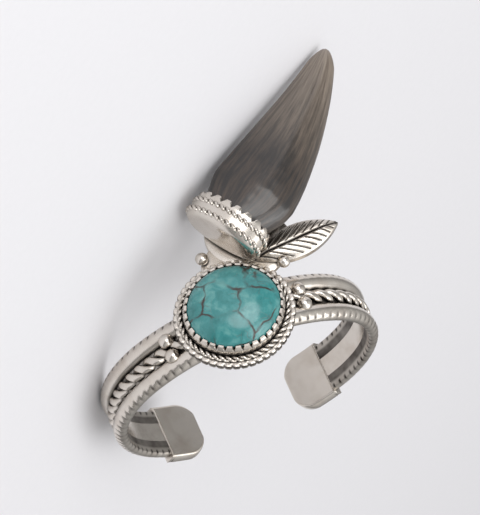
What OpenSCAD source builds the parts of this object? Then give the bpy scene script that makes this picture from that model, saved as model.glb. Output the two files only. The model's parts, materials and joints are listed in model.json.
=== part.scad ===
// Open silver cuff bracelet with a turquoise cabochon and a dark claw in a silver cap.
// It is drawn as worn: X runs along the front of the wrist, Y points out of the front
// and Z runs along the wrist. The module at_rest() then turns it as it lies on a table.

/* [Wrist opening] */
// Width inside the cuff, from side to side
inner_w = 55; // [54:0.5:60]
// Depth inside the cuff, from front to back
inner_d = 48; // [46:0.5:50]
// Clear gap between the two terminals
gap_w = 22; // [20:0.5:26]

/* [Band] */
// Thickness of the band at the crests of its wires
band_t = 2.6; // [2.2:0.1:3]
// Width of each of the two plain outer wires
edge_wire_w = 4.1; // [3.4:0.1:4.6]
// Width of the twisted wire between them
rope_w = 3.2; // [2.6:0.1:3.8]
// Thickness that is left in the grooves between the wires
groove_t = 1.1; // [0.8:0.1:1.6]

/* [Terminals] */
// Length of each stamped end plate
terminal_l = 10; // [7:0.5:12]
// Width of each stamped end plate
terminal_w = 12.6; // [11.8:0.1:14]
// Thickness of each stamped end plate
terminal_t = 3; // [2.6:0.1:3.4]

/* [Stone] */
// Length of the stone along the band
stone_l = 19.5; // [18.6:0.1:21]
// Width of the stone across the band
stone_w = 18; // [17:0.1:18.4]
// Height of the stone from its flat back to the top of its dome
stone_h = 6.4; // [5:0.1:8]
// Radius of the stone's rounded ends, seen from the front
stone_end_r = 8; // [7.2:0.1:8.4]

/* [Bezel and back plate] */
// Thickness of the bezel wall round the stone
bezel_t = 0.7; // [0.5:0.05:1]
// Height of the bezel wall above the stone's back
bezel_h = 3.4; // [2.4:0.1:4]
// Ledge of the back plate outside the bezel
ledge_w = 2.1; // [1.6:0.1:2.6]
// Thickness of the back plate
plate_t = 1.3; // [1:0.1:1.6]
// Length of the silver leaf beside the stone
leaf_l = 19; // [15:0.5:21]
// Width of the silver leaf
leaf_w = 7.4; // [6:0.2:8]

/* [Claw] */
// Length of the claw outside its cap, along its curve
claw_l = 43; // [38:0.5:46]
// Width of the claw's root, where it comes out of its cap
claw_w = 15.4; // [14.4:0.2:16]
// Width of the claw where it is widest
claw_belly = 19.6; // [17:0.2:21]
// Thickness of the claw
claw_t = 9.6; // [8:0.2:11]
// Angle between the band's line and the way the claw leaves its cap, in degrees
claw_start = 33; // [30:1:36]
// How far the claw's line turns between its cap and its tip, in degrees
claw_turn = 18; // [10:1:30]
// Length of the silver cap on the claw's root
cap_l = 6; // [5.5:0.5:6.5]
// Thickness of the cap's wall
cap_t = 0.8; // [0.6:0.05:1]
// Height of the two trim wires that run round the cap
rim_h = 0.5; // [0.3:0.1:0.7]

/* [Rest] */
// Turn about X as the bracelet lies on one side of the band and on the claw's belly and tip
rest_front = 4.8; // [0:0.1:20]
// Turn about Y that lowers the side away from the claw onto the table
rest_side = -29.8; // [-40:0.1:0]

/* [Hidden] */
$fn = 96;

silver = [0.76, 0.75, 0.73];
turquoise = [0.20, 0.58, 0.56];
horn = [0.13, 0.12, 0.11];

// The band's middle line is an oval of four arcs. Their centres stand on the axes, 3 to 4
// in distance, so that the arcs meet smoothly where a 3-4-5 triangle's long side points.
mid_w = inner_w + band_t;
mid_d = inner_d + band_t;
centre_step = (mid_w - mid_d) / 4;
side_c = 3 * centre_step;
front_c = 4 * centre_step;
side_r = mid_w / 2 - side_c;
front_r = side_r + 5 * centre_step;
lean = [0.6, 0.8];
gap_a = asin(gap_w / 2 / front_r);
terminal_a = terminal_l / front_r * 180 / PI;

band_w = 2 * edge_wire_w + rope_w;
in_y = -band_t / 2;
out_y = band_t / 2;
groove_y = in_y + groove_t;
crest_flat = 0.5;
rope_crest = out_y - 0.25;

// Levels along Y, from the band's crest outwards. Soldered pieces sink a little into each other.
sink = 0.4;
crest_y = inner_d / 2 + band_t;
plate_low = crest_y - sink;
plate_y = plate_low + plate_t;
seat_y = plate_y + 0.3;
stone_gap = 0.1;
bezel_top = seat_y + bezel_h;
bezel_l = stone_l + 2 * (bezel_t + stone_gap);
bezel_w = stone_w + 2 * (bezel_t + stone_gap);
bezel_r = stone_end_r + bezel_t + stone_gap;

// The mouth of the cap, where the claw comes out, and the claw's own middle plane
mouth = [7.9, -17.8];
claw_gap = 0.2;
cap_w = claw_w + 2 * (claw_gap + cap_t);
cap_h = claw_t + 2 * (claw_gap + cap_t);
cap_r = cap_h * 0.42;
claw_y = plate_y + cap_h / 2 - sink;
root_l = cap_l - cap_t - 0.5;
rim_w = 1.2;
rims_at = [1.6, cap_l - 2];
// Where the claw is widest, as a share of its length
belly_at = 0.15;

// Middle of the leaf, and the angle at which it points away from the band's line
leaf_at = [17.8, -9.8];
leaf_dip = 3;

// Silver between the bezel and the cap
bridge_at = [7.4, -11.2];
bridge_l = 21;
bridge_w = 13;

// Round grains: their radius, and the middles of the two beside the bridge
bead_r = 1.6;
beads_at = [[-1.6, -13.6], [13.6, -6.4]];

// An oval of four arcs, l long and w wide, with ends of radius r
module oval(l, w, r) {
    c = l / 2 - r;
    big = (c * c + w * w / 4 - r * r) / (w - 2 * r);
    far = big - w / 2;
    join = c + r * c / (big - r);
    intersection() {
        translate([0, -far]) circle(big);
        translate([0, far]) circle(big);
        square([2 * join, w + 2], center = true);
    }
    for (s = [-1, 1]) translate([s * c, 0]) circle(r);
}

// A leaf with two pointed ends, l long and w wide
module leaf(l, w) {
    r = (l * l + w * w) / (4 * w);
    intersection() {
        translate([0, r - w / 2]) circle(r);
        translate([0, w / 2 - r]) circle(r);
    }
}

// Draws a flat shape of the front view (X, Z) as a slab between two levels of Y
module front_slab(from_y, to_y) {
    translate([0, to_y, 0]) rotate([90, 0, 0]) linear_extrude(to_y - from_y) children();
}

// Section of the three wires: x is the distance outwards from the band's middle line
module band_section() {
    e = band_w / 2;
    m = e - edge_wire_w / 2;
    g = rope_w / 2;
    polygon([
        [in_y, -e], [groove_y, -e], [out_y, -m - crest_flat], [out_y, -m + crest_flat],
        [groove_y, -g], [rope_crest, -g / 2], [rope_crest, g / 2],
        [groove_y, g], [out_y, m - crest_flat], [out_y, m + crest_flat],
        [groove_y, e], [in_y, e]
    ]);
}

// One arc of the band: a full turn cut by two planes through its centre
module arc(r, from, to) {
    intersection() {
        rotate([0, 0, 180]) rotate_extrude() translate([r, 0]) band_section();
        linear_extrude(2 * band_w, center = true) polygon([[0, 0], 2 * r * from, 2 * r * to]);
    }
}

// The bent band, open at the back
module shank() {
    open_w = gap_w + terminal_l;
    difference() {
        for (s = [0, 1]) {
            mirror([0, s, 0]) translate([0, -front_c, 0]) arc(front_r, lean, [-lean[0], lean[1]]);
            mirror([s, 0, 0]) translate([side_c, 0, 0]) arc(side_r, [lean[0], -lean[1]], lean);
        }
        translate([-open_w / 2, -mid_d, -band_w]) cube([open_w, mid_d, 2 * band_w]);
    }
}

// A plate on one end of the band, with its free corners rounded
module terminal() {
    corner = terminal_w * 0.35;
    intersection() {
        translate([0, front_c, 0])
            rotate([0, 0, gap_a - 90]) rotate_extrude(angle = terminal_a)
                translate([front_r, 0]) square([terminal_t, terminal_w], center = true);
        front_slab(-mid_d, 0) translate([gap_w / 2, 0]) {
            for (s = [-1, 1])
                translate([corner, s * (terminal_w / 2 - corner)]) circle(corner);
            translate([0, corner - terminal_w / 2]) square([corner, terminal_w - 2 * corner]);
            translate([corner, -terminal_w / 2]) square([terminal_l, terminal_w]);
        }
    }
}

// Places its children at the mouth of the cap, with X along the way the claw points
module at_mouth() {
    translate([mouth[0], claw_y, mouth[1]]) rotate([0, claw_start, 0]) children();
}

module back_plate() {
    front_slab(plate_low, plate_y) {
        oval(bezel_l + 2 * ledge_w, bezel_w + 2 * ledge_w, bezel_r + ledge_w);
        translate([leaf_at[0], leaf_at[1]]) rotate(-leaf_dip) leaf(leaf_l, leaf_w);
        translate([bridge_at[0], bridge_at[1]]) rotate(-claw_start / 2)
            oval(bridge_l, bridge_w, bridge_w * 0.44);
        translate([mouth[0] + 1, mouth[1] + 0.6]) rotate(-claw_start)
            oval(cap_w, cap_w * 0.86, cap_w * 0.4);
    }
}

// The wall and floor that hold the stone, filled down to the bent band
module bezel() {
    difference() {
        front_slab(crest_y - 3.2, bezel_top) oval(bezel_l, bezel_w, bezel_r);
        front_slab(seat_y, bezel_top + 1)
            oval(bezel_l - 2 * bezel_t, bezel_w - 2 * bezel_t, bezel_r - bezel_t);
        translate([0, -front_c, 0])
            cylinder(h = 3 * band_w, r = front_r + 0.2, center = true);
    }
}

// A closed oval cup with two trim wires, soldered on the back plate, for the claw's root
module cap() {
    at_mouth() rotate([0, -90, 0]) {
        difference() {
            linear_extrude(cap_l) oval_upright(0);
            translate([0, 0, -1]) linear_extrude(cap_l - cap_t + 1) oval_upright(cap_t);
        }
        for (h = rims_at)
            translate([0, 0, h]) linear_extrude(rim_w) difference() {
                oval_upright(-rim_h);
                oval_upright(cap_t / 2);
            }
    }
}

// Section of the cap, with its long side in the plane of the claw
module oval_upright(inset) {
    oval(cap_w - 2 * inset, cap_h - 2 * inset, cap_r - inset);
}

// A round grain, r in radius, with its top worn a little flat
module grain(r) {
    rotate([-90, 0, 0]) rotate_extrude() polygon([
        for (a = [-50:20:70]) r * [cos(a), sin(a)], [0, r * sin(70)], [0, r * sin(-50)]
    ]);
}

// Small round grains of silver where the bezel, the band and the cap meet
module grains() {
    side_a = asin((bezel_l / 2 + ledge_w + bead_r) / front_r);
    for (s = [-1, 1], t = [-1, 1])
        translate([0, -front_c, 0]) rotate([0, 0, s * side_a])
            translate([0, front_r + groove_y + bead_r * 0.6, t * bead_r * 1.1])
                grain(bead_r);
    for (p = beads_at)
        translate([p[0], plate_y + bead_r * 0.4, p[1]])
            grain(bead_r * 0.85);
}

module cuff() color(silver) at_rest() {
    shank();
    for (s = [0, 1]) mirror([s, 0, 0]) terminal();
    back_plate();
    bezel();
    cap();
    grains();
}

// A domed oval cabochon with a short upright girdle
module stone() color(turquoise) at_rest() {
    base = seat_y + stone_gap;
    girdle = bezel_h * 0.8;
    dome_h = stone_h - girdle;
    dome_r = (stone_l * stone_l / 4 + dome_h * dome_h) / (2 * dome_h);
    intersection() {
        front_slab(base, base + stone_h + 1) oval(stone_l, stone_w, stone_end_r);
        translate([0, base + stone_h - dome_r, 0]) sphere(dome_r);
    }
}

// The claw's curve: straight inside the cap, then a bend that tightens a little
rings = 26;
sides = 24;
root_rings = 3;
function bent(s) = claw_turn * (0.75 * s + 0.25 * s * s);
function line_at(i) =
    i <= root_rings ? [root_l * (i / root_rings - 1), 0]
    : let(p = line_at(i - 1), n = rings - root_rings, s = (i - root_rings - 0.5) / n)
      p + claw_l / n * [cos(bent(s)), -sin(bent(s))];
function taper(s) = s < belly_at ? 1 : 1 - 0.8 * pow((s - belly_at) / (1 - belly_at), 1.3);
function half_w(s) =
    let(swell = sin(90 * max(0, min(1, s / belly_at))))
    (claw_w + (claw_belly - claw_w) * swell) / 2 * taper(s);
function at_ring(i) = (i - root_rings) / (rings - root_rings);

module claw() color(horn) at_rest() at_mouth() {
    points = [for (i = [0:rings])
        let(s = at_ring(i), c = line_at(i), a = s <= 0 ? 0 : bent(s))
        for (j = [0:sides - 1])
            let(t = 360 * j / sides, across = half_w(s) * cos(t))
            [c[0] + across * sin(a), claw_t / 2 * taper(s) * sin(t), c[1] + across * cos(a)]];
    last = rings * sides;
    faces = concat(
        [[for (j = [sides - 1:-1:0]) j]],
        [for (i = [0:rings - 1], j = [0:sides - 1])
            let(a = i * sides + j, b = i * sides + (j + 1) % sides)
            [a, b, b + sides, a + sides]],
        [[for (j = [0:sides - 1]) last + j]]);
    polyhedron(points, faces, convexity = 4);
}

// Turns the bracelet as it lies, leaning on the claw's belly and tip
module at_rest() {
    rotate([rest_front, rest_side, 0]) children();
}

cuff();
stone();
claw();
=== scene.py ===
import json
from math import asin, atan2, ceil, copysign, cos, degrees, exp, hypot, pi, radians, sin, sqrt

import bmesh
import bpy
from bpy.props import FloatProperty, PointerProperty, StringProperty
from bpy.types import Operator, Panel, PropertyGroup
from mathutils import Matrix, Vector, noise


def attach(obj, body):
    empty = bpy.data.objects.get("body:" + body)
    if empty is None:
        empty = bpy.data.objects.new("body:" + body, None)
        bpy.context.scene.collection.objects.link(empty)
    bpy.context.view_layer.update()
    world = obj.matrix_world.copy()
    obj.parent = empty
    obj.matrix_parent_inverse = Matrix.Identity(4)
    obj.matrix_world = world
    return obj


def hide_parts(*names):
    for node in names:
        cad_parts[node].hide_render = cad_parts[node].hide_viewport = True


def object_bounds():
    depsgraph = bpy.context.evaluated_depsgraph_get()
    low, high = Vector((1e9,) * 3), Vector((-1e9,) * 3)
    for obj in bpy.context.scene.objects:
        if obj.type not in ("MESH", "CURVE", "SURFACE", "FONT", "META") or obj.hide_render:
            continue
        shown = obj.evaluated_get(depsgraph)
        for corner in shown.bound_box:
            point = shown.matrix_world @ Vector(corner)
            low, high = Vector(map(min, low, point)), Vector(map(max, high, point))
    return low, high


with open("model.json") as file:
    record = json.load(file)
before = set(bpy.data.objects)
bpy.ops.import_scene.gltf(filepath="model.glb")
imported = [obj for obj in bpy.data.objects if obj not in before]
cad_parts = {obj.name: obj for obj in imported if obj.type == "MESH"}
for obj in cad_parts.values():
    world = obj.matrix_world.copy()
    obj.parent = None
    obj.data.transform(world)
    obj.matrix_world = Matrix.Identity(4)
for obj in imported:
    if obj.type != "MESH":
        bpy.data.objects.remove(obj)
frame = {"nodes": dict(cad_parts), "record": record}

bl_info = {
    "name": "Silver Cuff Bracelet",
    "version": (1, 0, 0),
    "blender": (4, 5, 0),
    "location": "View3D > Sidebar > Bracelet",
    "description": "Builds an open silver cuff with a turquoise stone and a claw in a silver cap",
    "category": "Add Mesh",
}

CAD_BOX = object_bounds()
# Width and height of the picture
IMAGE = (480, 515)
MM = 0.001
# Points closer than this are one point
WELD = 2e-6
# Edges that turn more than this stay crisp
SHARP = radians(38)

# How far soldered pieces sink into each other
SINK = 0.4 * MM
# Thickness of the bezel's floor, and the play of the stone and of the claw in their seats
SEAT = 0.3 * MM
STONE_PLAY = 0.1 * MM
CLAW_PLAY = 0.2 * MM
# Width of the twisted wire that trims the bezel and the cap
TRIM = 1.3 * MM
# Places on the front, as X and Z of the worn bracelet, and how far the leaf dips
MOUTH_AT = (7.9 * MM, -17.8 * MM)
CAP_PLATE_AT = (8.9 * MM, -17.2 * MM)
BRIDGE_AT = (7.4 * MM, -11.2 * MM)
LEAF_AT = (17.8 * MM, -9.8 * MM)
LEAF_DIP = radians(3)
GRAINS_AT = ((-1.6 * MM, -13.6 * MM), (13.6 * MM, -6.4 * MM))

# The two finishes of the silver, and how rough each is
POLISHED, STAMPED = "Hand polished sterling silver", "Stamped sterling silver"
ROUGH = {POLISHED: 0.2, STAMPED: 0.24}

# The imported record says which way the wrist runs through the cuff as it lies. Two turns bring
# the worn bracelet there: X along the front, Y out of the front, Z along the wrist.
WRIST = Vector(frame["record"]["mounts"][0]["axis"])
REST = (Matrix.Rotation(atan2(WRIST.x, WRIST.z), 4, "Y")
        @ Matrix.Rotation(-asin(WRIST.y), 4, "X"))
# Lays a flat shape on the front of the cuff: its own Z then points out of the front
FRONT = Matrix.Rotation(-pi / 2, 4, "X")
# Stands a ring round the claw's line: its own Z then points back into the cap
CUP = Matrix.Rotation(-pi / 2, 4, "Y")


def length(name, about, size):
    """A length that a user may change, given in millimetres."""
    return FloatProperty(name=name, description=about, default=size * MM, min=0,
                         subtype="DISTANCE", unit="LENGTH", precision=5)


def angle(name, about, size):
    """An angle that a user may change, given in degrees."""
    return FloatProperty(name=name, description=about, default=radians(size),
                         subtype="ANGLE", unit="ROTATION")


def tint(name, about, code):
    """An sRGB colour that a user may change, as a hex value."""
    return StringProperty(name=name, description=about, default=code)


class BraceletBand(PropertyGroup):
    """Sizes of the bent band and its two ends."""
    inner_w: length("Inner width", "Width of the wrist opening", 55)
    inner_d: length("Inner depth", "Depth of the wrist opening", 48)
    gap_w: length("Gap", "Clear gap between the two ends", 22)
    thick: length("Thickness", "Thickness of the band at its crests", 2.6)
    edge_w: length("Edge wire", "Width of each plain outer wire", 4.1)
    rope_w: length("Twisted wire", "Width of the twisted wire between them", 3.2)
    groove_t: length("Groove", "Thickness left under the twisted wire", 1.1)
    lay: length("Lay", "Length of one full turn of the twisted wire", 6.2)
    notch: length("Chisel step", "Distance from one chisel cut to the next", 1.9)
    end_l: length("End length", "Length of each stamped end plate", 10)
    end_w: length("End width", "Width of each stamped end plate", 12.6)
    end_t: length("End thickness", "Thickness of each stamped end plate", 3)


class BraceletSetting(PropertyGroup):
    """Sizes of the stone, its bezel, the plate behind them and the leaf."""
    stone_l: length("Stone length", "Length of the stone along the band", 19.5)
    stone_w: length("Stone width", "Width of the stone across the band", 18)
    stone_h: length("Stone height", "Height of the stone to the top of its dome", 6.4)
    stone_r: length("Stone ends", "Radius of the stone's rounded ends", 8)
    bezel_t: length("Bezel wall", "Thickness of the bezel wall", 0.7)
    bezel_h: length("Bezel height", "Height of the bezel above the stone's back", 3.4)
    ledge_w: length("Ledge", "Ledge of the back plate outside the bezel", 2.1)
    plate_t: length("Plate", "Thickness of the back plate", 1.3)
    leaf_l: length("Leaf length", "Length of the silver leaf", 19)
    leaf_w: length("Leaf width", "Width of the silver leaf", 7.4)
    grain_r: length("Grain", "Radius of the round silver grains", 1.6)


class BraceletClaw(PropertyGroup):
    """Sizes of the claw and its silver cap."""
    long: length("Claw length", "Length of the claw outside its cap", 43)
    wide: length("Root width", "Width of the claw where it comes out of its cap", 15.4)
    belly: length("Belly width", "Width of the claw where it is widest", 19.6)
    thick: length("Claw thickness", "Thickness of the claw", 9.6)
    start: angle("Start", "Angle between the band's line and the way the claw leaves its cap", 33)
    turn: angle("Turn", "How far the claw's line turns up to its tip", 18)
    cap_l: length("Cap length", "Length of the silver cap", 6)
    cap_t: length("Cap wall", "Thickness of the cap's wall", 0.8)
    rim_h: length("Trim wire", "Height of the two trim wires round the cap", 0.5)


class BraceletFinish(PropertyGroup):
    """Colours of the finishes."""
    silver: tint("Silver", "Polished sterling silver", "DFD8CF")
    patina: tint("Patina", "Dark sulphide in the grooves of the silver", "2A2523")
    tarnish: tint("Tarnish", "Thin warm tarnish on worn silver", "B3A393")
    stone: tint("Turquoise", "Middle colour of the stone", "358787")
    stone_pale: tint("Pale turquoise", "Paler clouds in the stone", "69A6A2")
    stone_deep: tint("Deep turquoise", "Deeper patches in the stone", "14706F")
    matrix: tint("Matrix", "Dark host rock that veins the stone", "2B2119")
    horn: tint("Claw", "Near-black keratin of the claw", "1B1715")
    horn_warm: tint("Claw streaks", "Warmer streaks in the claw", "46392F")
    horn_tip: tint("Claw tip", "Thin, worn tip of the claw", "716458")
    horn_pale: tint("Claw tip fibres", "Palest fibres of the worn tip", "A39688")
    floor: tint("Floor", "Pale matt paper under the bracelet", "E9E8EB")


class BraceletStage(PropertyGroup):
    """The camera's place, as the photo has it, and how much it takes in."""
    rise: angle("Rise", "Camera above the level of the worn cuff's front edge", 64.4)
    swing: angle("Swing", "Camera to the left of the wrist's line", -17.6)
    roll: angle("Roll", "Turn of the picture", -5.5)
    lens: FloatProperty(name="Lens", description="Focal length", default=150, min=1,
                        subtype="DISTANCE_CAMERA", unit="CAMERA")
    margin: FloatProperty(name="Margin", default=0.09, min=0, max=0.4, subtype="FACTOR",
                          description="Share of the picture left free round the piece")


class Oval:
    """A closed line of four arcs: two ends of radius r on X and two long, flatter sides."""

    def __init__(self, long, wide, r):
        self.r = r
        self.c = long / 2 - r
        self.big = (self.c ** 2 + wide ** 2 / 4 - r ** 2) / (wide - 2 * r)
        self.far = self.big - wide / 2
        self.lean = atan2(self.c, self.far)
        self.side = self.big * self.lean
        self.end = r * (pi - 2 * self.lean)
        self.round = 4 * self.side + 2 * self.end

    def grown(self, by):
        """The same oval, drawn that far further out."""
        return Oval(2 * (self.c + self.r + by), 2 * (self.big - self.far + by), self.r + by)

    def at(self, s, out=0.0):
        """The point s along the line, from the middle of its +Y side towards +X, and that far
        out."""
        s = (s + self.round / 2) % self.round - self.round / 2
        way, s = copysign(1, s), abs(s)
        if s <= self.side:
            a, x, y, r = pi / 2 - s / self.big, 0, -self.far, self.big
        elif s <= self.side + self.end:
            a, x, y, r = pi / 2 - self.lean - (s - self.side) / self.r, self.c, 0, self.r
        else:
            a = self.lean - pi / 2 - (s - self.side - self.end) / self.big
            x, y, r = 0, self.far, self.big
        return Vector((way * (x + (r + out) * cos(a)), y + (r + out) * sin(a)))


class Plan:
    """What follows from the sizes: levels along Y and the lines that pieces are bent along."""

    def __init__(self, scene):
        band, setting, claw = scene.bracelet_band, scene.bracelet_setting, scene.bracelet_claw
        mid_w, mid_d = band.inner_w + band.thick, band.inner_d + band.thick
        # The band's arcs have their centres on the axes, 3 to 4 in distance
        self.line = Oval(mid_w, mid_d, mid_w / 2 - (mid_w - mid_d) * 3 / 4)
        # Half the band's length, and the run of its wires, which end half way under the ends
        self.half = self.line.round / 2 - self.line.big * asin(band.gap_w / 2 / self.line.big)
        self.run = 2 * (self.half - band.end_l / 2)
        self.band_w = 2 * band.edge_w + band.rope_w
        # Levels out from the band's middle line
        self.inside, self.crest = -band.thick / 2, band.thick / 2
        self.groove = self.inside + band.groove_t
        # Levels out of the front
        self.plate_low = band.inner_d / 2 + band.thick - SINK
        self.plate_y = self.plate_low + setting.plate_t
        self.seat_y = self.plate_y + SEAT
        self.bezel_top = self.seat_y + setting.bezel_h
        # The lines round the stone, its bezel and the cap
        self.stone = Oval(setting.stone_l, setting.stone_w, setting.stone_r)
        self.bezel = self.stone.grown(setting.bezel_t + STONE_PLAY)
        wall = claw.cap_t + CLAW_PLAY
        self.cap_w, cap_h = claw.wide + 2 * wall, claw.thick + 2 * wall
        self.cap = Oval(self.cap_w, cap_h, cap_h * 0.42)
        mouth = (MOUTH_AT[0], self.plate_y + cap_h / 2 - SINK, MOUTH_AT[1])
        self.at_mouth = Matrix.Translation(mouth) @ Matrix.Rotation(claw.start, 4, "Y")


def on_front(at, turn, level=0.0):
    """Places a flat shape on the front, at that X and Z, turned there and that far out."""
    return Matrix.Translation((at[0], level, at[1])) @ Matrix.Rotation(turn, 4, "Y") @ FRONT


def steps(total, size):
    """How many equal steps of about that size fill the total."""
    return max(1, round(total / size))


def zigzag(value):
    """1 at whole numbers and 0 half way between them."""
    return abs(value % 1 - 0.5) * 2


def clamp(value):
    """The value, kept from 0 to 1."""
    return min(1.0, max(0.0, value))


def fade(far, reach):
    """1 at no distance, and down evenly to 0 at the reach."""
    return clamp(1 - far / reach)


def past(value, start):
    """0 up to the start, and from there up evenly to 1 at 1."""
    return clamp((value - start) / (1 - start))


def wrap(bm, line, up=0.0):
    """Bends a straight work piece round a line: X runs along it, Y out of it and Z up."""
    for v in bm.verts:
        p = line.at(v.co.x, v.co.y)
        v.co = (p.x, p.y, up + v.co.z)


def grooved():
    """A new work piece, and the layer that says how deep in a groove each point sits."""
    bm = bmesh.new()
    return bm, bm.verts.layers.float.new("groove")


def first_ring(bm, around, whole=1.0):
    """A closed row of points, and the layer that says how much of the whole way round each is."""
    passed = bm.verts.layers.float.new("passed")
    ring = bmesh.ops.create_circle(bm, segments=around, radius=1)["verts"]
    for i, v in enumerate(ring):
        v[passed] = whole * i / around
    return ring, passed


def loft(bm, line, rows, around, wave=None):
    """Extrudes a closed outline from row to row. Each row says how far out and up it stands, and
    some say how much further out and up they go where wave(share round the line) is 1."""
    ring, share = first_ring(bm, around)
    for number, (out, up, *more) in enumerate(rows):
        if number:
            ring = extrude(bm, ring)
        for v in ring:
            more_out, more_up = (wave(v[share]) * size for size in more) if more else (0, 0)
            p = line.at(v[share] * line.round, out + more_out)
            v.co = (p.x, p.y, up + more_up)


def ring_edges(ring):
    """The edges that join the points of one row."""
    inside = set(ring)
    return list({e for v in ring for e in v.link_edges if e.other_vert(v) in inside})


def new_points(made):
    """The points among what an operator has made."""
    return [g for g in made["geom"] if isinstance(g, bmesh.types.BMVert)]


def extrude(bm, ring):
    """Extrudes a closed row of points and returns the new row, still in the same place."""
    return new_points(bmesh.ops.extrude_edge_only(bm, edges=ring_edges(ring)))


def close_holes(bm):
    """Fills every open end with one face."""
    bmesh.ops.holes_fill(bm, edges=[e for e in bm.edges if e.is_boundary], sides=0)


def two_sheets(bm, along, across):
    """A grid from -1 to 1 with a second one on its back, joined at the rim. Returns the points of
    the front and of the back."""
    bmesh.ops.create_grid(bm, x_segments=along, y_segments=across, size=1)
    front = list(bm.verts)
    return front, new_points(bmesh.ops.extrude_face_region(bm, geom=bm.faces[:]))


def draw_out(bm, ring, long, count, turn=0.0):
    """Draws a ring out along X in equal steps, and turns it about X on the way."""
    bmesh.ops.spin(bm, geom=ring + ring_edges(ring), cent=(0, 0, 0), axis=(1, 0, 0),
                   dvec=(long / count, 0, 0), angle=turn, steps=count,
                   use_merge=False, use_normal_flip=False, use_duplicate=False)


def rope(bm, long, wide, turns, sides=10, steps_a_turn=16):
    """Two wires twisted together along X, centred, each a ring that is screwed on."""
    strand = wide / 4
    # Cut square across the rope, a slanting wire shows as an oval
    slant = hypot(1, 2 * pi * strand / (long / turns))
    for side in (0, pi):
        # A hair thinner than the space for it, so that the strands stay apart on the axis
        ring = bmesh.ops.create_circle(bm, segments=sides, radius=strand * 0.985)["verts"]
        place = (Matrix.Rotation(side, 4, "X") @ Matrix.Translation((-long / 2, strand, 0))
                 @ Matrix.Diagonal((1, 1, slant, 1)) @ Matrix.Rotation(pi / 2, 4, "Y"))
        bmesh.ops.transform(bm, matrix=place, verts=ring)
        draw_out(bm, ring, long, ceil(turns * steps_a_turn), turns * 2 * pi)


def to_object(bm, name, material):
    """Turns a worked mesh into an object in the scene."""
    mesh = bpy.data.meshes.new(name)
    bm.to_mesh(mesh)
    bm.free()
    mesh.materials.append(material)
    made = bpy.data.objects.new(name, mesh)
    bpy.context.scene.collection.objects.link(made)
    return made


def make_piece(bm, name, material, place=Matrix.Identity(4), stands_for=(),
               crisp=SHARP):
    """Turns a worked mesh into a finished piece that rides on the bracelet."""
    bmesh.ops.remove_doubles(bm, verts=bm.verts, dist=WELD)
    bmesh.ops.dissolve_degenerate(bm, dist=WELD / 4, edges=bm.edges)
    bmesh.ops.transform(bm, matrix=REST @ place, verts=bm.verts)
    bmesh.ops.recalc_face_normals(bm, faces=bm.faces)
    for face in bm.faces:
        face.smooth = True
    for edge in bm.edges:
        edge.smooth = edge.calc_face_angle(0) < crisp
    piece = to_object(bm, name, material)
    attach(piece, "root")
    for node in stands_for:
        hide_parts(node)


def rope_ring(name, line, lay, up, silver, place):
    """A ring of trim wire round a line, with that length to one full turn of its strands."""
    bm = bmesh.new()
    rope(bm, line.round, TRIM, steps(line.round, lay), sides=8, steps_a_turn=12)
    wrap(bm, line, up)
    make_piece(bm, name, silver, place)


def linear(code):
    """An sRGB hex value as Blender's linear colour."""
    parts = [int(code[i:i + 2], 16) / 255 for i in (0, 2, 4)]
    return tuple(c / 12.92 if c <= 0.04045 else ((c + 0.055) / 1.055) ** 2.4 for c in parts) + (1,)


def add_node(tree, kind, output, inputs=None, stops=(), **settings):
    """Adds a node with its settings and links, and returns one of its outputs. An input is a
    value, or a socket that is linked to it. A stop is a place and a colour or a grey value."""
    node = tree.nodes.new("ShaderNode" + kind)
    for name, value in settings.items():
        setattr(node, name, value)
    for name, value in (inputs or {}).items():
        socket = node.inputs[name]
        if isinstance(value, bpy.types.NodeSocket):
            tree.links.new(value, socket)
        else:
            socket.default_value = value
    for number, (place, colour) in enumerate(stops):
        elements = node.color_ramp.elements
        element = elements[number] if number < 2 else elements.new(place)
        element.position = place
        element.color = colour if isinstance(colour, tuple) else (colour, colour, colour, 1)
    return node.outputs[output]


def new_material(name, **constants):
    """A material whose shader has these constants on its own sockets."""
    material = bpy.data.materials.new(name)
    material.use_nodes = True
    tree = material.node_tree
    shader = tree.nodes["Principled BSDF"]
    for socket, value in constants.items():
        shader.inputs[socket.replace("_", " ")].default_value = value
    return material, tree, shader


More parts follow.
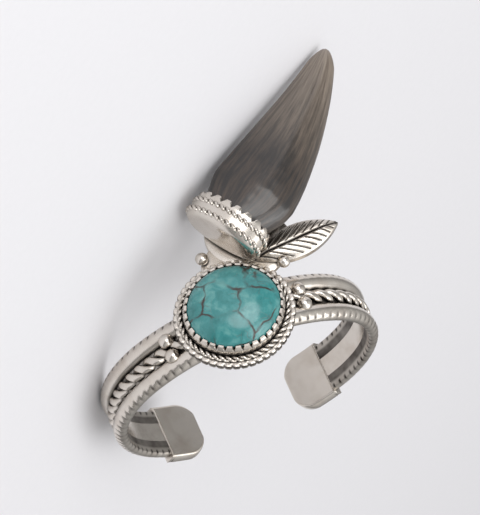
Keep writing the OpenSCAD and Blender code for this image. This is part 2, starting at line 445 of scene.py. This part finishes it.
def sterling_silver(name, finish):
    """Sterling silver, blackened and then polished by hand: bright crests, black grooves, and
    hairline scratches from the wheel that draw the highlights out."""
    material, tree, shader = new_material(name, Metallic=1.0)
    place = add_node(tree, "TexCoord", "Object")
    groove = add_node(tree, "Attribute", "Fac", attribute_name="groove")
    # Crevices where pieces are soldered together keep the black, about 1 mm deep. The floor counts
    # too, so this also paints shade on the silver where it comes within about 1 mm of the floor.
    free = add_node(tree, "AmbientOcclusion", "AO", {"Distance": 1.1 * MM}, samples=8)
    crevice_patina_and_floor_shade = add_node(tree, "ValToRGB", "Color", {"Fac": free}, ((0.25, 1.0), (0.8, 0.0)))
    dark = add_node(tree, "Math", 0, {0: groove, 1: crevice_patina_and_floor_shade}, operation="MAXIMUM")
    # The black is broken up, and the bright silver has a thin tarnish, in clouds of 4 mm
    cloud = add_node(tree, "TexNoise", "Fac",
                     {"Vector": place, "Scale": 1 / (4 * MM), "Detail": 4.0})
    broken = add_node(tree, "Math", 0, {0: cloud, 1: 0.55}, operation="ADD")
    black = add_node(tree, "Math", 0, {0: dark, 1: broken}, operation="MULTIPLY", use_clamp=True)
    worn = add_node(tree, "ValToRGB", "Color", {"Fac": cloud}, ((0.45, 0.0), (0.75, 0.4)))
    metal = add_node(tree, "Mix", 2, {0: worn, 6: linear(finish.silver),
                                      7: linear(finish.tarnish)}, data_type="RGBA")
    colour = add_node(tree, "Mix", 2, {0: black, 6: metal, 7: linear(finish.patina)},
                      data_type="RGBA")
    tree.links.new(colour, shader.inputs["Base Color"])
    # Wheel scratches 0.1 mm apart and up to 1 mm long. Real ones are finer, but would not show.
    long = add_node(tree, "Mapping", "Vector", {"Vector": place, "Scale": (1.0, 6.0, 0.6)})
    hair = add_node(tree, "TexNoise", "Fac",
                    {"Vector": long, "Scale": 1 / (0.6 * MM), "Detail": 3.0})
    rough = add_node(tree, "MapRange", 0, {"Value": hair, "To Min": ROUGH[name] * 0.85,
                                           "To Max": ROUGH[name] * 1.2})
    dull = add_node(tree, "Math", 0, {0: black, 1: 0.35, 2: rough}, operation="MULTIPLY_ADD")
    tree.links.new(dull, shader.inputs["Roughness"])
    relief = add_node(tree, "Bump", 0, {"Height": hair, "Strength": 0.06, "Distance": 0.02 * MM})
    tree.links.new(relief, shader.inputs["Normal"])
    return material


def polished_turquoise(finish):
    """Turquoise, cut and polished: a waxy blue-green with cloudy patches and thin brown-black
    veins of host rock that sink a little below the polish."""
    material, tree, shader = new_material("Polished turquoise", Metallic=0.0, IOR=1.61,
                                          Coat_Weight=0.35, Coat_Roughness=0.1)
    place = add_node(tree, "TexCoord", "Object")
    # The veins and clouds are bent out of line by up to 2.8 mm
    warp = add_node(tree, "TexNoise", "Color",
                    {"Vector": place, "Scale": 1 / (3.2 * MM), "Detail": 5.0})
    bent = add_node(tree, "VectorMath", 0, {0: warp, 1: (2.8 * MM,) * 3, 2: place},
                    operation="MULTIPLY_ADD")
    # The wide veins fade out in some patches, and the fine ones keep well away from there
    patch = add_node(tree, "TexNoise", "Fac",
                     {"Vector": place, "Scale": 1 / (5 * MM), "Detail": 2.0})
    rock = (0, 0, 0, 1)
    for gap, vein, where in (
            (6.4 * MM, ((0.018, 1.0), (0.058, 0.0)), ((0.44, 1.0), (0.56, 0.12))),
            (2.4 * MM, ((0.01, 0.7), (0.04, 0.0)), ((0.4, 0.75), (0.5, 0.0)))):
        far = add_node(tree, "TexVoronoi", "Distance", {"Vector": bent, "Scale": 1 / gap},
                       feature="DISTANCE_TO_EDGE")
        line = add_node(tree, "ValToRGB", "Color", {"Fac": far}, vein)
        shown = add_node(tree, "ValToRGB", "Color", {"Fac": patch}, where)
        line = add_node(tree, "Mix", 2, {0: shown, 6: (0, 0, 0, 1), 7: line}, data_type="RGBA")
        rock = add_node(tree, "Mix", 2, {0: 1.0, 6: rock, 7: line}, data_type="RGBA",
                        blend_type="LIGHTEN")
    cloud = add_node(tree, "TexNoise", "Fac", {"Vector": bent, "Scale": 1 / (2.6 * MM),
                                               "Detail": 6.0, "Roughness": 0.6})
    body = add_node(tree, "ValToRGB", "Color", {"Fac": cloud}, (
        (0.3, linear(finish.stone_deep)), (0.5, linear(finish.stone)),
        (0.72, linear(finish.stone_pale))))
    colour = add_node(tree, "Mix", 2, {0: rock, 6: body, 7: linear(finish.matrix)},
                      data_type="RGBA")
    tree.links.new(colour, shader.inputs["Base Color"])
    dull = add_node(tree, "MapRange", 0, {"Value": rock, "To Min": 0.22, "To Max": 0.5})
    tree.links.new(dull, shader.inputs["Roughness"])
    sunk = add_node(tree, "Bump", 0, {"Height": rock, "Strength": 0.35, "Distance": 0.08 * MM},
                    invert=True)
    tree.links.new(sunk, shader.inputs["Normal"])
    return material


def natural_claw(finish):
    """Claw keratin, cleaned and oiled: near-black, streaked lengthwise with warmer brown, satin
    on its ridges and worn to pale fibres towards the tip."""
    material, tree, shader = new_material("Natural claw keratin", Metallic=0.0, IOR=1.54,
                                          Coat_Weight=0.6, Coat_Roughness=0.11)
    along = add_node(tree, "Attribute", "Fac", attribute_name="along")
    lines = add_node(tree, "Attribute", "Vector", attribute_name="fibre")
    # Fibres that run the length of the claw, about 0.8 mm wide and finer towards its tip
    fibre = add_node(tree, "TexNoise", "Fac",
                     {"Vector": lines, "Scale": 1.0, "Detail": 4.0, "Roughness": 0.65})
    streak = add_node(tree, "ValToRGB", "Color", {"Fac": fibre}, ((0.42, 0.0), (0.66, 1.0)))
    body = add_node(tree, "Mix", 2, {0: streak, 6: linear(finish.horn),
                                     7: linear(finish.horn_warm)}, data_type="RGBA")
    worn = add_node(tree, "ValToRGB", "Color", {"Fac": fibre}, (
        (0.36, linear(finish.horn_tip)), (0.68, linear(finish.horn_pale))))
    tip = add_node(tree, "ValToRGB", "Color", {"Fac": along}, ((0.28, 0.0), (1.0, 0.85)))
    colour = add_node(tree, "Mix", 2, {0: tip, 6: body, 7: worn}, data_type="RGBA")
    tree.links.new(colour, shader.inputs["Base Color"])
    rough = add_node(tree, "MapRange", 0, {"Value": fibre, "To Min": 0.22, "To Max": 0.4})
    tree.links.new(rough, shader.inputs["Roughness"])
    ridges = add_node(tree, "Bump", 0, {"Height": fibre, "Strength": 0.5, "Distance": 0.08 * MM})
    tree.links.new(ridges, shader.inputs["Normal"])
    return material


def matt_paper(finish):
    """Matt paper: pale, even and without gloss, with a faint tooth."""
    material, tree, shader = new_material("Matt paper", Roughness=0.9)
    place = add_node(tree, "TexCoord", "Object")
    tooth = add_node(tree, "TexNoise", "Fac",
                     {"Vector": place, "Scale": 1 / (1.5 * MM), "Detail": 3.0})
    white = linear(finish.floor)
    shade = tuple(0.97 * c for c in white[:3]) + (1,)
    colour = add_node(tree, "ValToRGB", "Color", {"Fac": tooth}, ((0.0, shade), (1.0, white)))
    tree.links.new(colour, shader.inputs["Base Color"])
    return material


def silver_for(context, name):
    """The named silver finish, made once."""
    made = bpy.data.materials.get(name)
    return made or sterling_silver(name, context.scene.bracelet_finish)


class BRACELET_OT_edge_wires(Operator):
    """Draw the two ridged outer wires and bend them round the wrist line"""
    bl_idname = "bracelet.edge_wires"
    bl_label = "Edge Wires"

    def execute(self, context):
        plan, band = Plan(context.scene), context.scene.bracelet_band
        silver = silver_for(context, POLISHED)
        # The section is an oval, sunk below the band's middle line and flat on the inside
        high, wide, sunk = 1.6 * MM, band.edge_w / 2 - 0.14 * MM, 0.38 * MM
        for name, way in (("edge_wire_upper", 1), ("edge_wire_lower", -1)):
            middle = way * (plan.band_w - band.edge_w) / 2
            bm, groove = grooved()
            ring = bmesh.ops.create_circle(bm, segments=22, radius=1)["verts"]
            place = (Matrix.Translation((-plan.run / 2, -sunk, middle))
                     @ Matrix.Diagonal((1, high, wide, 1)) @ Matrix.Rotation(pi / 2, 4, "Y"))
            bmesh.ops.transform(bm, matrix=place, verts=ring)
            for v in ring:
                v.co.y = max(v.co.y, plan.inside)
            draw_out(bm, ring, plan.run, steps(plan.run, 0.32 * MM))
            close_holes(bm)
            for v in bm.verts:
                slope = way * (v.co.z - middle) / (band.edge_w / 2)
                self.chase(groove, v, slope, way, plan, band)
            wrap(bm, plan.line)
            make_piece(bm, name, silver, stands_for=["cuff"] if way > 0 else ())
        return {"FINISHED"}

    def chase(self, groove, v, slope, way, plan, band):
        """Cuts 0.42 mm deep chisel strokes down the outer slope, which runs from 0 at the wire's
        middle to 1 at its edge, and leaves the hand's small waves on the crest."""
        s, y = v.co.xy
        top = max(0.0, (y - plan.groove) / (plan.crest - plan.groove))
        stroke = fade(zigzag(s / band.notch), 0.42) * fade(abs(slope - 0.62), 0.34)
        if y > plan.groove:
            v.co.y -= 0.42 * MM * stroke
        v.co.y += 0.05 * MM * noise.noise(Vector((s / (3 * MM), way * 7, 0))) * top
        v[groove] = clamp(1.3 * stroke + (0.75 - top) * (1 if slope < 0 else 0.4))


class BRACELET_OT_rope_wire(Operator):
    """Twist two wires together, roll them a little flat and bend them between the edge wires"""
    bl_idname = "bracelet.rope_wire"
    bl_label = "Twisted Wire"

    def execute(self, context):
        plan, band = Plan(context.scene), context.scene.bracelet_band
        silver = silver_for(context, POLISHED)
        # Rolled thinner than the band, and clear of its inside by a hair
        thick, clear = band.thick - 0.25 * MM, 0.1 * MM
        bm = bmesh.new()
        rope(bm, plan.run, band.rope_w, plan.run / band.lay)
        close_holes(bm)
        place = (Matrix.Translation((0, plan.inside + clear + thick / 2, 0))
                 @ Matrix.Diagonal((1, thick / band.rope_w, 1, 1)))
        bmesh.ops.transform(bm, matrix=place, verts=bm.verts)
        wrap(bm, plan.line)
        make_piece(bm, "rope_wire", silver)
        self.solder(plan, band, silver)
        return {"FINISHED"}

    def solder(self, plan, band, silver):
        """The strip of solder that fills the back between the three wires."""
        low, high = plan.inside + 0.08 * MM, plan.groove - 0.1 * MM
        bm = bmesh.new()
        bmesh.ops.create_cube(bm, size=1)
        place = (Matrix.Translation((0, (low + high) / 2, 0))
                 @ Matrix.Diagonal((plan.run, high - low, plan.band_w - band.edge_w, 1)))
        bmesh.ops.transform(bm, matrix=place, verts=bm.verts)
        long = [e for e in bm.edges if abs(e.verts[0].co.x - e.verts[1].co.x) > plan.run / 2]
        bmesh.ops.subdivide_edges(bm, edges=long, cuts=steps(plan.run, 1.5 * MM),
                                  use_grid_fill=True)
        wrap(bm, plan.line)
        make_piece(bm, "band_solder", silver)


class BRACELET_OT_terminals(Operator):
    """Forge the two end plates and stamp them with rays, dots and a border"""
    bl_idname = "bracelet.terminals"
    bl_label = "Stamped Ends"

    # Radius of the free end's corners as a share of its width, and radius of the filed edges
    corner = 0.35
    filed = 0.6 * MM
    # Distance between the grid's points
    fine = 0.13 * MM
    # How deep the stamps go
    deep = 0.34 * MM

    def execute(self, context):
        plan, band = Plan(context.scene), context.scene.bracelet_band
        silver = silver_for(context, STAMPED)
        for name, way in (("terminal_right", 1), ("terminal_left", -1)):
            bm, groove = grooved()
            top, bottom = two_sheets(bm, steps(band.end_l, self.fine),
                                     steps(band.end_w, self.fine))
            for v in top:
                off = self.place(v, band, band.end_t / 2)
                depth = self.stamp(v.co.x, v.co.z, band)
                v[groove] = clamp(depth * 1.25)
                v.co.y -= self.deep * depth + off
            for v in bottom:
                off = self.place(v, band, -band.end_t / 2)
                v.co.y += off
            for v in bm.verts:
                v.co.x = way * (plan.half - band.end_l + v.co.x)
            wrap(bm, plan.line)
            make_piece(bm, name, silver)
        return {"FINISHED"}

    def place(self, v, band, level):
        """Spreads the unit grid over the plate, whose free end has rounded corners, and returns
        how much the file took off there to round the plate's edges."""
        x = (v.co.x + 1) / 2 * band.end_l
        r = band.end_w * self.corner
        near = max(0.0, x - (band.end_l - r))
        half = band.end_w / 2 - r + sqrt(max(0.0, r * r - near * near))
        edge = min(x, band.end_l - x, half * (1 - abs(v.co.y)))
        v.co = (x, level, v.co.y * half)
        return self.filed - sqrt(max(0.0, self.filed ** 2 - max(0.0, self.filed - edge) ** 2))

    def stamp(self, x, z, band):
        """How deep the stamps cut at a point, from 0 to 1."""
        # Far and turned from the root of a fan, which is 1.9 mm from the free end
        dx = band.end_l - 1.9 * MM - x
        far, turn = hypot(dx, z), degrees(atan2(z, dx))
        # A ring round the root, and a border line at the end that meets the band
        depth = max(fade(abs(far - 1.35 * MM), 0.3 * MM), fade(abs(x - 0.9 * MM), 0.28 * MM))
        # Rays every 16.4 degrees, which narrow outwards
        first, last = 2.0 * MM, 5.2 * MM
        if abs(turn) < 82 and first < far < last:
            wide = 0.5 - 0.35 * (far - first) / (last - first)
            depth = max(depth, fade(zigzag(turn / 16.4 + 0.5), wide))
        # Five round punches beyond every second ray
        for k in range(-2, 3):
            a = radians(k * 32.8)
            punch = hypot(dx - 6.1 * MM * cos(a), z - 6.1 * MM * sin(a))
            depth = max(depth, 1 - (punch / (0.52 * MM)) ** 2)
        return depth


class BRACELET_OT_plate(Operator):
    """Saw out the back plate with its notched ledge and the bridge that carries the cap"""
    bl_idname = "bracelet.back_plate"
    bl_label = "Back Plate"

    def execute(self, context):
        plan, setting = Plan(context.scene), context.scene.bracelet_setting
        start = context.scene.bracelet_claw.start
        silver = silver_for(context, STAMPED)
        low, top, ledge = plan.plate_low, plan.plate_y, setting.ledge_w
        teeth = steps(plan.bezel.round + 2 * pi * ledge, 1.7 * MM)
        # The foot reaches down into the band, and the ledge's edge is filed round and notched
        foot, into, down = low - 2.8 * MM, -0.3 * MM, -0.28 * MM
        rows = [(-2 * MM, foot), (0, foot), (0.02 * MM, low), (ledge, low, into, 0),
                (ledge, top - 0.25 * MM, into, down),
                (ledge - 0.12 * MM, top - 0.05 * MM, into, down)]
        rows += [(ledge - k * 0.16 * MM, top, 0, down * max(0, 6 - k) / 5) for k in range(2, 8)]
        rows += [(-2 * MM, top)]
        bm, groove = grooved()
        loft(bm, plan.bezel, rows, teeth * 8, lambda share: fade(zigzag(share * teeth), 0.4))
        close_holes(bm)
        for v in bm.verts:
            below = top - v.co.z
            v[groove] = clamp((below / MM - 0.06) / 0.2) if below < 0.5 * MM else 0.3
        make_piece(bm, "back_plate", silver, FRONT)
        # Each plate's underside lies a hair higher than the last, so that no two share a plane
        bridge = Oval(21 * MM, 13 * MM, 13 * MM * 0.44)
        self.slab("bridge_plate", bridge, low + 0.04 * MM, top - 0.12 * MM,
                  on_front(BRIDGE_AT, start / 2), silver)
        under_cap = Oval(plan.cap_w, plan.cap_w * 0.86, plan.cap_w * 0.4)
        self.slab("cap_plate", under_cap, low + 0.08 * MM, top - 0.06 * MM,
                  on_front(CAP_PLATE_AT, start), silver)
        return {"FINISHED"}

    def slab(self, name, line, low, high, place, silver):
        """A flat plate whose upper edge is filed round."""
        file = 0.3 * MM
        bm = bmesh.new()
        loft(bm, line, [(-2 * MM, low), (0, low), (0, high - file),
                        (-0.3 * file, high - 0.3 * file), (-file, high), (-2 * MM, high)], 72)
        close_holes(bm)
        make_piece(bm, name, silver, place)


class BRACELET_OT_bezel(Operator):
    """Bend the bezel wall round the stone, file its top into scallops and add its rope border"""
    bl_idname = "bracelet.bezel"
    bl_label = "Bezel"

    def execute(self, context):
        plan, wall = Plan(context.scene), context.scene.bracelet_setting.bezel_t
        silver = silver_for(context, POLISHED)
        teeth = steps(plan.bezel.round, 1.9 * MM)
        # Up the inside, over the rim, which leans in on the stone, and down the outside. The
        # scallops take most from the rim itself.
        top, low, cut = plan.bezel_top, plan.plate_y - SEAT, -0.95 * MM
        rows = [(-wall, low), (-wall, top - 1.4 * MM), (-wall, top - 0.9 * MM, 0, cut / 4),
                (-wall - 0.12 * MM, top - 0.25 * MM, 0, cut * 3 / 4),
                (-wall - 0.16 * MM, top, 0, cut), (-0.42 * MM, top, 0, cut),
                (-0.16 * MM, top - 0.3 * MM, 0, cut * 3 / 4),
                (-0.04 * MM, top - 0.8 * MM, 0, cut / 4),
                (0, top - 1.4 * MM), (0, low), (-wall, low)]
        bm, groove = grooved()
        loft(bm, plan.bezel, rows, teeth * 10,
             lambda share: past(zigzag(share * teeth), 0.62) ** 1.5)
        for v in bm.verts:
            v[groove] = clamp((plan.plate_y + 1.3 * MM - v.co.z) / (1.6 * MM))
        make_piece(bm, "bezel", silver, FRONT)
        rope_ring("bezel_rope", plan.bezel.grown(0.46 * TRIM), 2.9 * MM,
                  plan.plate_y + 0.42 * TRIM, silver, FRONT)
        return {"FINISHED"}


class BRACELET_OT_leaf(Operator):
    """Dome the silver leaf and cut its midrib and veins"""
    bl_idname = "bracelet.leaf"
    bl_label = "Leaf"

    def execute(self, context):
        plan, setting = Plan(context.scene), context.scene.bracelet_setting
        long, wide = setting.leaf_l, setting.leaf_w
        # Radius of the two arcs that are its outline
        r = (long ** 2 + wide ** 2) / (4 * wide)
        bm, groove = grooved()
        top, bottom = two_sheets(bm, 140, 56)
        for points, level in ((top, 0.5 * MM), (bottom, -0.9 * MM)):
            for v in points:
                x, across = v.co.x * long / 2, v.co.y
                half = max(0.02 * MM, sqrt(max(0.0, r * r - x * x)) - (r - wide / 2))
                v.co = (x, across * half, level)
                if points is top:
                    self.carve(groove, v, across, half, wide)
        make_piece(bm, "leaf", silver_for(context, STAMPED),
                   on_front(LEAF_AT, LEAF_DIP, plan.plate_y))
        return {"FINISHED"}

    def carve(self, groove, v, across, half, wide):
        """Domes the leaf at a point and cuts its midrib, or a vein that slants back to it."""
        crown = 1.25 * MM * (1 - across ** 2) * min(1.0, half / (wide * 0.3))
        rib = exp(-(v.co.y / (0.28 * MM)) ** 2)
        vein = fade(zigzag((v.co.x - abs(v.co.y) * 1.5) / (1.9 * MM)), 0.3)
        depth = max(0.9 * rib, vein * (0.12 < abs(across) < 0.86))
        v.co.z += crown - 0.34 * MM * depth
        v[groove] = clamp(depth * 1.2)


class BRACELET_OT_grains(Operator):
    """Melt the round silver grains and set them beside the bezel"""
    bl_idname = "bracelet.grains"
    bl_label = "Grains"

    def execute(self, context):
        plan, setting = Plan(context.scene), context.scene.bracelet_setting
        silver = silver_for(context, POLISHED)
        r, line = setting.grain_r, plan.line
        turn = asin((plan.bezel.c + plan.bezel.r + setting.ledge_w + r) / line.big)
        grains = []
        # Two at each end of the bezel, on the band
        for way in (-1, 1):
            p = line.at(way * turn * line.big, plan.groove + r * 0.6)
            grains += [((p.x, p.y, across * 1.1 * r), r) for across in (-1, 1)]
        # Two smaller ones, at each side of the bridge
        grains += [((x, plan.plate_y + r * 0.4, z), 0.85 * r) for x, z in GRAINS_AT]
        # Each is a little flat on top, as it comes from the charcoal
        flat = Matrix.Diagonal((1, 0.92, 1, 1))
        for number, (place, size) in enumerate(grains, 1):
            bm = bmesh.new()
            bmesh.ops.create_uvsphere(bm, u_segments=28, v_segments=18, radius=size)
            make_piece(bm, f"grain_{number}", silver, Matrix.Translation(place) @ flat @ FRONT)
        return {"FINISHED"}


class BRACELET_OT_cap(Operator):
    """Raise the oval cap on the claw's root, with a scalloped lip and rope trim"""
    bl_idname = "bracelet.cap"
    bl_label = "Claw Cap"

    def execute(self, context):
        plan, claw = Plan(context.scene), context.scene.bracelet_claw
        silver = silver_for(context, POLISHED)
        wall, deep = claw.cap_t, claw.cap_l
        teeth = steps(plan.cap.round, 2.6 * MM)
        # Up the inside to the lip, whose scallops draw the nearest rows back, then down the
        # outside and round to the closed end
        lip, bend = 1.05 * MM, 1.5 * MM
        rows = [(-wall, deep - wall), (-wall, 1.6 * MM, 0, 0.1 * lip),
                (-wall, 0.9 * MM, 0, 0.5 * lip), (-wall, 0, 0, lip), (-0.3 * MM, 0, 0, lip),
                (0, 0.5 * MM, 0, 0.8 * lip), (0, 1.0 * MM, 0, 0.5 * lip),
                (0, 1.6 * MM, 0, 0.1 * lip), (0, 2.6 * MM), (0, 3.6 * MM), (0, deep - 1.6 * MM)]
        rows += [(bend * (cos(a) - 1), deep - bend * (1 - sin(a)))
                 for a in (radians(t) for t in range(10, 91, 16))]
        rows += [(-3.4 * MM, deep)]
        bm = bmesh.new()
        loft(bm, plan.cap, rows, teeth * 10,
             lambda share: past(zigzag(share * teeth), 0.35) ** 1.3)
        close_holes(bm)
        make_piece(bm, "claw_cap", silver, plan.at_mouth @ CUP)
        middle = plan.cap.grown(claw.rim_h - TRIM / 2)
        for name, up in (("cap_rope_front", 2.2 * MM), ("cap_rope_back", deep - 1.4 * MM)):
            rope_ring(name, middle, 2.8 * MM, up, silver, plan.at_mouth @ CUP)
        return {"FINISHED"}


class BRACELET_OT_stone(Operator):
    """Cut the domed turquoise"""
    bl_idname = "bracelet.stone"
    bl_label = "Turquoise"

    def execute(self, context):
        plan, setting = Plan(context.scene), context.scene.bracelet_setting
        base = plan.seat_y + STONE_PLAY
        # The girdle is the line where the side ends and the dome begins, inside the bezel
        girdle = setting.bezel_h - 0.9 * MM
        dome = setting.stone_h - girdle
        # Each row's size as a share of the outline, and its height
        rows = [(0.97, 0), (1.0, 0.3 * MM), (1.0, girdle * 0.5), (0.995, girdle)]
        rows += [(cos(a) ** 0.82, girdle + dome * sin(a) ** 1.05)
                 for a in (radians(t) for t in range(6, 88, 3))]
        bm = bmesh.new()
        ring, share = first_ring(bm, 112)
        for number, (size, up) in enumerate(rows):
            if number:
                ring = extrude(bm, ring)
            for v in ring:
                p = plan.stone.at(v[share] * plan.stone.round)
                v.co = (p.x * size, p.y * size, base + up)
        close_holes(bm)
        # The hand's small unevenness on the dome
        for v in bm.verts:
            if v.co.z > base + girdle:
                v.co.z += 0.1 * MM * (noise.noise(v.co / (6 * MM)) - 0.5)
        turquoise = polished_turquoise(context.scene.bracelet_finish)
        make_piece(bm, "turquoise_stone", turquoise, FRONT, ["stone"])
        return {"FINISHED"}


class BRACELET_OT_claw(Operator):
    """Grow the curved, ridged claw out of its cap"""
    bl_idname = "bracelet.claw"
    bl_label = "Claw"

    # Where the claw is widest and where its tip begins to close, as shares of its length
    belly_at = 0.15
    tip_at = 0.89

    def execute(self, context):
        plan, claw = Plan(context.scene), context.scene.bracelet_claw
        rows, root_rows = 114, 6
        root = claw.cap_l - claw.cap_t - 0.5 * MM
        bm = bmesh.new()
        along = bm.verts.layers.float.new("along")
        fibre = bm.verts.layers.float_vector.new("fibre")
        ring, turn = first_ring(bm, 72, 2 * pi)
        here = Vector((-root, 0, 0))
        for row in range(-root_rows, rows + 1):
            share = row / rows
            if row > -root_rows:
                ring = extrude(bm, ring)
                step = claw.long / rows if row > 0 else root / root_rows
                heading = self.bent(claw, share - 0.5 / rows)
                here = here + step * Vector((cos(heading), 0, -sin(heading)))
            for v in ring:
                self.place(v, v[turn], share, here, self.bent(claw, share), claw)
                v[along] = max(0.0, share)
                # One step of the pattern is 9 mm along the claw and 0.8 mm round its belly
                v[fibre] = (share * claw.long / (9 * MM), cos(v[turn]) * 9, sin(v[turn]) * 9)
        close_holes(bm)
        keratin = natural_claw(context.scene.bracelet_finish)
        make_piece(bm, "claw_horn", keratin, plan.at_mouth, ["claw"], crisp=pi)
        return {"FINISHED"}

    def bent(self, claw, share):
        """How far the claw's line has turned at that share of its length. Its root is straight."""
        share = max(0.0, share)
        return claw.turn * (0.75 * share + 0.25 * share * share)

    def place(self, v, t, share, here, heading, claw):
        """Puts a point on the claw's section: rounded back, flatter flanks and a hollow belly."""
        tip = past(share, self.tip_at)
        size = 1 - 0.8 * past(share, self.belly_at) ** 1.3
        size *= sqrt(1 - tip * tip) * 0.995 + 0.002
        swell = sin(pi / 2 * clamp(share / self.belly_at))
        half = (claw.wide + (claw.belly - claw.wide) * swell) / 2
        across, flank = cos(t), sin(t)
        # The root in the cap is smooth. Outside it the belly is hollow, and fine ridges and
        # growth rings cover the rest.
        free = clamp(share / 0.06)
        hollow = free * 0.16 * exp(-(flank / 0.3) ** 2) * (across < 0)
        ridge = 0.006 * (sin(t * 17 + 1.5 * sin(share * 9)) + 0.6 * sin(t * 29 + 2))
        ring = 0.0015 * sin(share * 95 + 1.2 * sin(3 * t)) * (1 - share)
        skin = 0.985 + free * (ridge + ring)
        a = half * size * across * (skin - hollow)
        b = claw.thick / 2 * size * flank * (skin - 0.1 * free * max(0.0, -across))
        v.co = (here.x + a * sin(heading), b, here.z + a * cos(heading))


class BRACELET_OT_stage(Operator):
    """Lay out the pale floor, the soft lights and the camera at the photo's angle"""
    bl_idname = "bracelet.stage"
    bl_label = "Stage"

    def execute(self, context):
        scene = context.scene
        self.floor(scene)
        axes, target, tall = self.view(scene)
        self.camera(scene, axes, target, tall)
        self.lights(scene, axes, target)
        return {"FINISHED"}

    def floor(self, scene):
        """A wide sheet of pale paper at the bracelet's lowest point."""
        bm = bmesh.new()
        bmesh.ops.create_grid(bm, x_segments=1, y_segments=1, size=3)
        bmesh.ops.translate(bm, vec=(0, 0, CAD_BOX[0][2]), verts=bm.verts)
        sheet = to_object(bm, "floor", matt_paper(scene.bracelet_finish))

    def view(self, scene):
        """The picture's axes in the rest frame, its centre, and the height it takes in."""
        stage = scene.bracelet_stage
        rise, swing = stage.rise, stage.swing
        back = Vector((sin(swing) * cos(rise), sin(rise), cos(swing) * cos(rise)))
        right = Vector((cos(swing), 0, -sin(swing)))
        # Rolled about the line of sight, and then laid down with the bracelet
        turn = REST.to_3x3() @ Matrix.Rotation(stage.roll, 3, back)
        axes = [turn @ axis for axis in (right, back.cross(right), back)]
        points = [v.co for node in frame["nodes"].values() for v in node.data.vertices]
        span = [(min(p.dot(axis) for p in points), max(p.dot(axis) for p in points))
                for axis in axes]
        target = sum(((low + high) / 2 * axis for (low, high), axis in zip(span, axes)), Vector())
        wide, tall = (high - low for low, high in span[:2])
        tall = max(tall, wide * IMAGE[1] / IMAGE[0]) / (1 - 2 * stage.margin)
        return axes, target, tall

    def camera(self, scene, axes, target, tall):
        """A long lens, so that near and far keep almost one scale, as in the photo."""
        data = bpy.data.cameras.new("camera")
        data.sensor_fit = "VERTICAL"
        data.lens = scene.bracelet_stage.lens
        away = tall * data.lens / data.sensor_height
        data.clip_start, data.clip_end = 0.01, 20
        camera = bpy.data.objects.new("camera", data)
        camera.matrix_world = (Matrix.Translation(target + axes[2] * away)
                               @ Matrix(axes).transposed().to_4x4())
        scene.collection.objects.link(camera)
        scene.camera = camera

    def lights(self, scene, axes, target):
        """Three large soft boxes and a pale room whose lower walls are darker, so that the
        silver has something dark to mirror."""
        right, up, back = axes
        for name, way, far, size, power in (
                ("light_key", up * 0.9 - right * 0.35 + back * 0.9, 0.7, 0.5, 1.7),
                ("light_top", Vector((0, 0, 1)) + right * 0.15 + back * 0.1, 0.9, 0.8, 2.35),
                ("light_fill", back * 0.9 + right * 0.7 - up * 0.2, 0.9, 0.6, 1.3)):
            # None shines in from near the floor
            way = way.normalized()
            way.z = max(way.z, 0.25)
            data = bpy.data.lights.new(name, "AREA")
            data.shape = "DISK"
            data.size = size
            data.energy = power
            light = bpy.data.objects.new(name, data)
            light.matrix_world = (Matrix.Translation(target + way.normalized() * far)
                                  @ way.to_track_quat("Z", "Y").to_matrix().to_4x4())
            scene.collection.objects.link(light)
        world = bpy.data.worlds.new("pale_room")
        world.use_nodes = True
        tree = world.node_tree
        sky = add_node(tree, "TexCoord", "Generated")
        height = add_node(tree, "SeparateXYZ", "Z", {"Vector": sky})
        room = add_node(tree, "ValToRGB", "Color", {"Fac": height},
                        ((0.0, 0.23), (0.3, 0.4), (0.8, 0.74)))
        tree.links.new(room, tree.nodes["Background"].inputs["Color"])
        scene.world = world
        scene.view_settings.view_transform = "Standard"


class BRACELET_PT_sidebar(Panel):
    """Lists the steps in which the bracelet is made"""
    bl_idname = "BRACELET_PT_sidebar"
    bl_label = "Silver Cuff Bracelet"
    bl_space_type = "VIEW_3D"
    bl_region_type = "UI"
    bl_category = "Bracelet"

    def draw(self, context):
        for group in GROUPS:
            box = self.layout.box()
            settings = getattr(context.scene, group)
            for name in settings.__annotations__:
                box.prop(settings, name)
        for operator in OPERATORS:
            self.layout.operator(operator.bl_idname)


GROUPS = {
    "bracelet_band": BraceletBand,
    "bracelet_setting": BraceletSetting,
    "bracelet_claw": BraceletClaw,
    "bracelet_finish": BraceletFinish,
    "bracelet_stage": BraceletStage,
}
OPERATORS = (
    BRACELET_OT_edge_wires,
    BRACELET_OT_rope_wire,
    BRACELET_OT_terminals,
    BRACELET_OT_plate,
    BRACELET_OT_bezel,
    BRACELET_OT_leaf,
    BRACELET_OT_grains,
    BRACELET_OT_cap,
    BRACELET_OT_stone,
    BRACELET_OT_claw,
    BRACELET_OT_stage,
)


def register():
    for group in GROUPS.values():
        bpy.utils.register_class(group)
    for name, group in GROUPS.items():
        setattr(bpy.types.Scene, name, PointerProperty(type=group))
    for operator in OPERATORS:
        bpy.utils.register_class(operator)
    bpy.utils.register_class(BRACELET_PT_sidebar)


def unregister():
    bpy.utils.unregister_class(BRACELET_PT_sidebar)
    for operator in reversed(OPERATORS):
        bpy.utils.unregister_class(operator)
    for name in GROUPS:
        delattr(bpy.types.Scene, name)
    for group in reversed(GROUPS.values()):
        bpy.utils.unregister_class(group)


def main():
    register()
    for operator in OPERATORS:
        group, name = operator.bl_idname.split(".")
        getattr(getattr(bpy.ops, group), name)()


if __name__ == "__main__":
    main()
